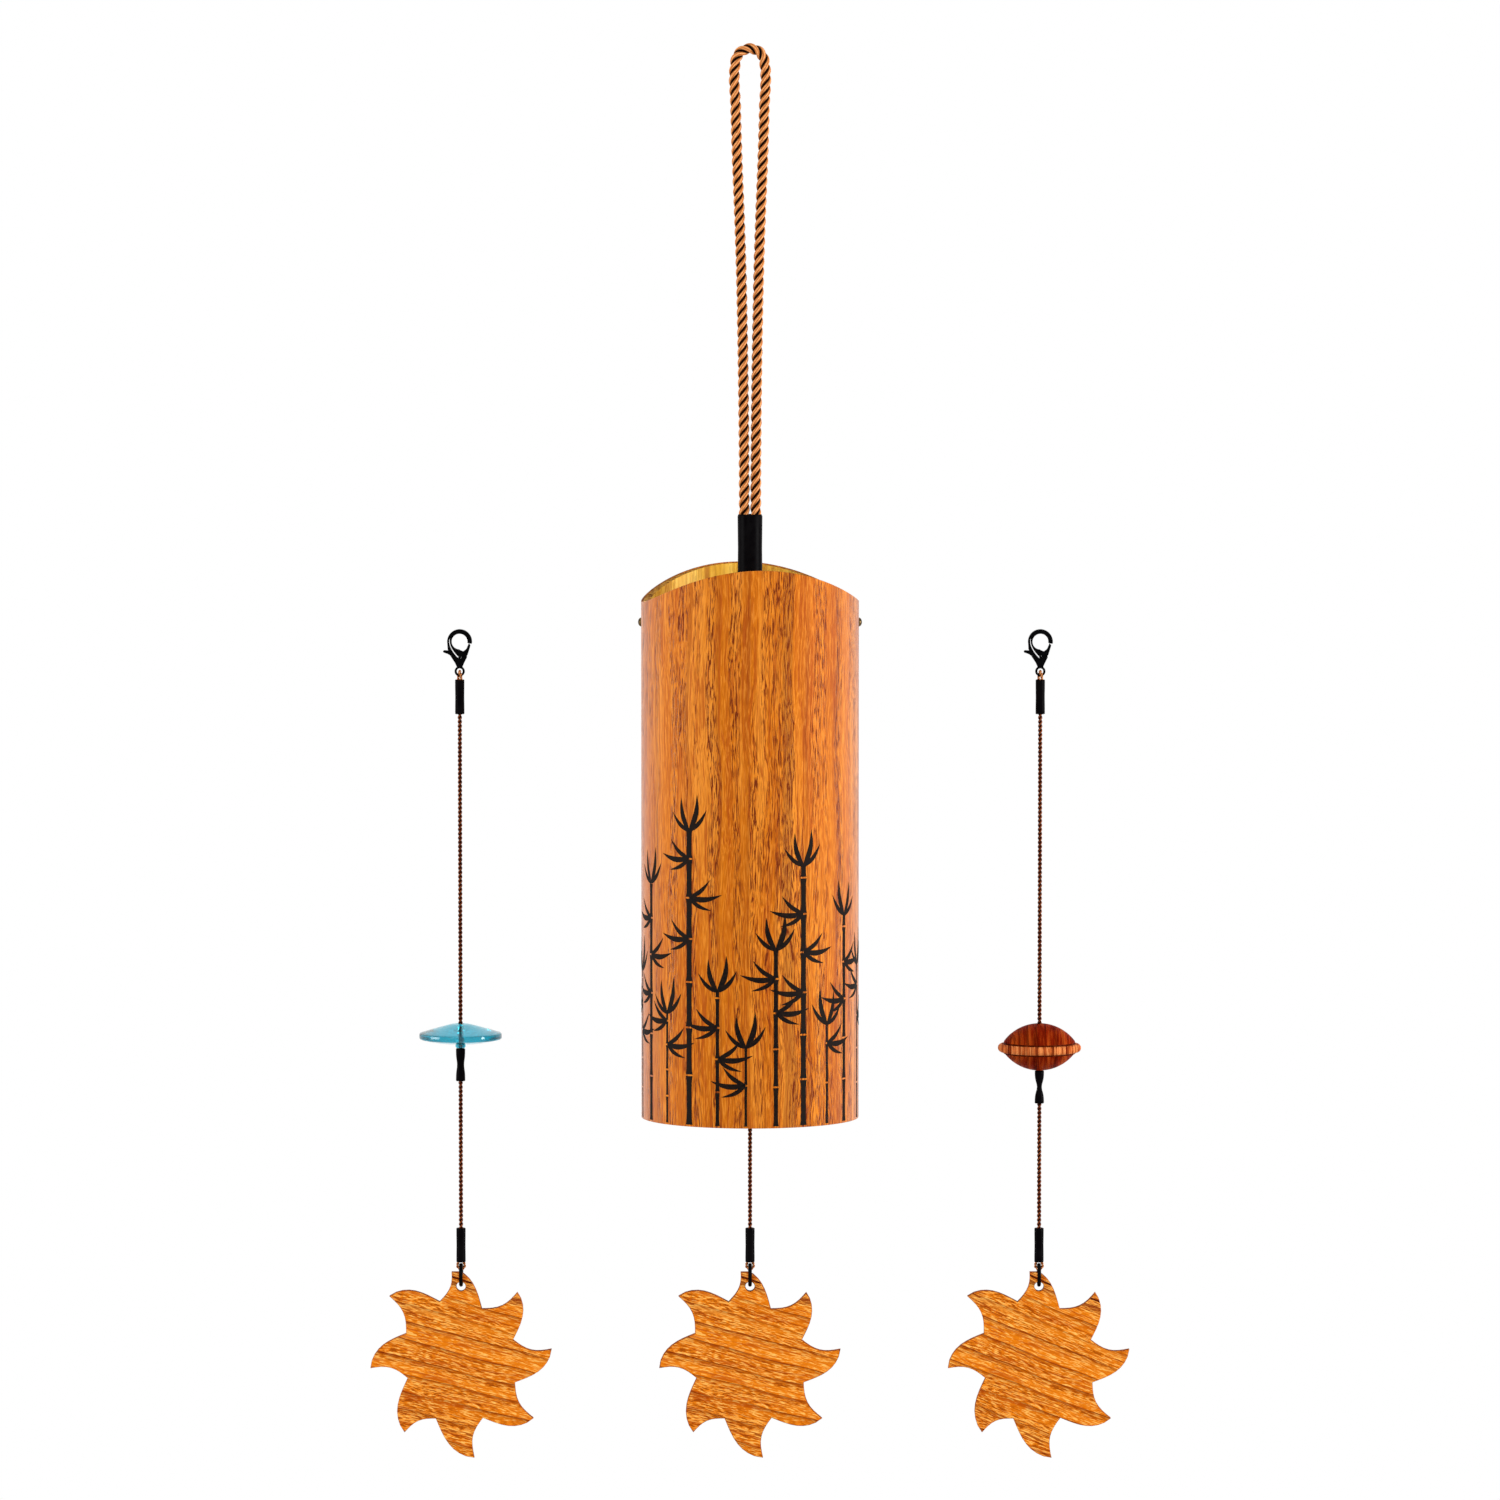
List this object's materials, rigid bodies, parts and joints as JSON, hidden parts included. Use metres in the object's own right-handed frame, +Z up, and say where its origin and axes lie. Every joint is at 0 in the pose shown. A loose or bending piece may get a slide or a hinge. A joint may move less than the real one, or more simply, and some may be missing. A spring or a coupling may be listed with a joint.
{
  "type": "wind chime",
  "caption": "Hanging wind chime: a veneered bamboo tube on a twisted rope loop, tuned rods on a base plate inside, and striker strands with clasps, discs and sun-shaped wind catchers.",
  "frame": {"origin": "top of the inside of the hanging rope loop, where a hook carries it", "axes": "+Z up along the tube; +X to the right and -Y towards the viewer of the wind catchers' faces"},
  "size_m": [0.2207, 0.063, 0.4104],
  "materials": {
    "rope": "twisted satin rope",
    "black_sleeve": "semi-gloss shrink sleeve",
    "veneer": "oiled veneer",
    "bamboo": "plain bamboo",
    "pin_steel": "drawn wire",
    "brass": "aged",
    "plate": "satin",
    "rod": "drawn",
    "black_metal": "black gloss plating",
    "cord": "two-ply twisted cord",
    "clear_acrylic": "polished",
    "blue_acrylic": "polished, translucent",
    "turned_wood": "waxed, lathe turned",
    "sun_wood": "oiled"
  },
  "bodies": {
    "hanger": {"hanging_rope": "rope", "rope_sleeve": "black_sleeve"},
    "tube": {"outer_veneer": "veneer", "bamboo_tube": "bamboo", "hanger_pin": "pin_steel", "pin_caps": "brass", "base_plate": "plate", "chime_rod_1": "rod", "chime_rod_2": "rod", "chime_rod_3": "rod", "chime_rod_4": "rod", "chime_rod_5": "rod", "chime_rod_6": "rod", "chime_rod_7": "rod", "chime_rod_8": "rod"},
    "top_ring": {"top_ring": "black_metal"},
    "striker": {"striker_clasp_body": "black_metal", "striker_clasp_rivet": "black_metal", "striker_clasp_loop": "cord", "striker_clasp_sleeve": "black_sleeve", "striker_cord": "cord", "striker_disc_sleeve": "black_sleeve"},
    "striker_lever": {"striker_clasp_lever": "black_metal"},
    "striker_disc": {"striker_disc": "clear_acrylic"},
    "striker_catcher": {"striker_catcher_sleeve": "black_sleeve", "striker_catcher_loop": "cord"},
    "striker_catcher_ring": {"striker_catcher_ring": "black_metal"},
    "striker_sun": {"striker_sun": "sun_wood"},
    "left_spare": {"left_spare_clasp_body": "black_metal", "left_spare_clasp_rivet": "black_metal", "left_spare_clasp_loop": "cord", "left_spare_clasp_sleeve": "black_sleeve", "left_spare_cord": "cord", "left_spare_disc_sleeve": "black_sleeve"},
    "left_spare_lever": {"left_spare_clasp_lever": "black_metal"},
    "left_spare_disc": {"left_spare_disc": "blue_acrylic"},
    "left_spare_catcher": {"left_spare_catcher_sleeve": "black_sleeve", "left_spare_catcher_loop": "cord"},
    "left_spare_catcher_ring": {"left_spare_catcher_ring": "black_metal"},
    "left_spare_sun": {"left_spare_sun": "sun_wood"},
    "right_spare": {"right_spare_clasp_body": "black_metal", "right_spare_clasp_rivet": "black_metal", "right_spare_clasp_loop": "cord", "right_spare_clasp_sleeve": "black_sleeve", "right_spare_cord": "cord", "right_spare_disc_sleeve": "black_sleeve"},
    "right_spare_lever": {"right_spare_clasp_lever": "black_metal"},
    "right_spare_disc": {"right_spare_disc": "turned_wood"},
    "right_spare_catcher": {"right_spare_catcher_sleeve": "black_sleeve", "right_spare_catcher_loop": "cord"},
    "right_spare_catcher_ring": {"right_spare_catcher_ring": "black_metal"},
    "right_spare_sun": {"right_spare_sun": "sun_wood"}
  },
  "joints": [
    {"name": "tube_tilt", "type": "hinge", "parent": "hanger", "child": "tube", "pos_m": [0, 0, -0.1637], "axis": [1, 0, 0], "range_deg": [-20, 20]},
    {"name": "top_ring_swing", "type": "hinge", "parent": "tube", "child": "top_ring", "pos_m": [0, 0, -0.1637], "axis": [1, 0, 0], "range_deg": [-2.2, 2.2]},
    {"name": "striker_swing", "type": "hinge", "parent": "top_ring", "child": "striker", "pos_m": [0, 0, -0.1679], "axis": [0, 1, 0], "range_deg": [-2.2, 2.2]},
    {"name": "striker_lever_press", "type": "hinge", "parent": "striker", "child": "striker_lever", "pos_m": [0, 0, -0.17388], "axis": [0, -1, 0], "range_deg": [0, 25], "stiffness_Nm_per_rad": 0.002},
    {"name": "striker_disc_spin", "type": "hinge", "parent": "striker", "child": "striker_disc", "pos_m": [0, 0, -0.28037], "axis": [0, 0, 1], "continuous": true},
    {"name": "striker_catcher_turn", "type": "hinge", "parent": "striker", "child": "striker_catcher", "pos_m": [0, 0, -0.33998], "axis": [0, 0, 1], "range_deg": [-180, 180]},
    {"name": "striker_ring_swing", "type": "hinge", "parent": "striker_catcher", "child": "striker_catcher_ring", "pos_m": [0, 0, -0.35092], "axis": [1, 0, 0], "range_deg": [-20, 20]},
    {"name": "striker_sun_swing", "type": "hinge", "parent": "striker_catcher_ring", "child": "striker_sun", "pos_m": [0, 0, -0.35652], "axis": [0, 1, 0], "range_deg": [-15, 15]},
    {"name": "left_spare_swing", "type": "hinge", "parent": "hanger", "child": "left_spare", "pos_m": [-0.084, 0, -0.16708], "axis": [1, 0, 0], "range_deg": [-30, 30]},
    {"name": "left_spare_lever_press", "type": "hinge", "parent": "left_spare", "child": "left_spare_lever", "pos_m": [-0.084, 0, -0.17388], "axis": [0, -1, 0], "range_deg": [0, 25], "stiffness_Nm_per_rad": 0.002},
    {"name": "left_spare_disc_spin", "type": "hinge", "parent": "left_spare", "child": "left_spare_disc", "pos_m": [-0.084, 0, -0.28037], "axis": [0, 0, 1], "continuous": true},
    {"name": "left_spare_catcher_turn", "type": "hinge", "parent": "left_spare", "child": "left_spare_catcher", "pos_m": [-0.084, 0, -0.33998], "axis": [0, 0, 1], "range_deg": [-180, 180]},
    {"name": "left_spare_ring_swing", "type": "hinge", "parent": "left_spare_catcher", "child": "left_spare_catcher_ring", "pos_m": [-0.084, 0, -0.35092], "axis": [1, 0, 0], "range_deg": [-20, 20]},
    {"name": "left_spare_sun_swing", "type": "hinge", "parent": "left_spare_catcher_ring", "child": "left_spare_sun", "pos_m": [-0.084, 0, -0.35652], "axis": [0, 1, 0], "range_deg": [-15, 15]},
    {"name": "right_spare_swing", "type": "hinge", "parent": "hanger", "child": "right_spare", "pos_m": [0.084, 0, -0.16708], "axis": [1, 0, 0], "range_deg": [-30, 30]},
    {"name": "right_spare_lever_press", "type": "hinge", "parent": "right_spare", "child": "right_spare_lever", "pos_m": [0.084, 0, -0.17388], "axis": [0, -1, 0], "range_deg": [0, 25], "stiffness_Nm_per_rad": 0.002},
    {"name": "right_spare_disc_spin", "type": "hinge", "parent": "right_spare", "child": "right_spare_disc", "pos_m": [0.084, 0, -0.28037], "axis": [0, 0, 1], "continuous": true},
    {"name": "right_spare_catcher_turn", "type": "hinge", "parent": "right_spare", "child": "right_spare_catcher", "pos_m": [0.084, 0, -0.33998], "axis": [0, 0, 1], "range_deg": [-180, 180]},
    {"name": "right_spare_ring_swing", "type": "hinge", "parent": "right_spare_catcher", "child": "right_spare_catcher_ring", "pos_m": [0.084, 0, -0.35092], "axis": [1, 0, 0], "range_deg": [-20, 20]},
    {"name": "right_spare_sun_swing", "type": "hinge", "parent": "right_spare_catcher_ring", "child": "right_spare_sun", "pos_m": [0.084, 0, -0.35652], "axis": [0, 1, 0], "range_deg": [-15, 15]}
  ]
}
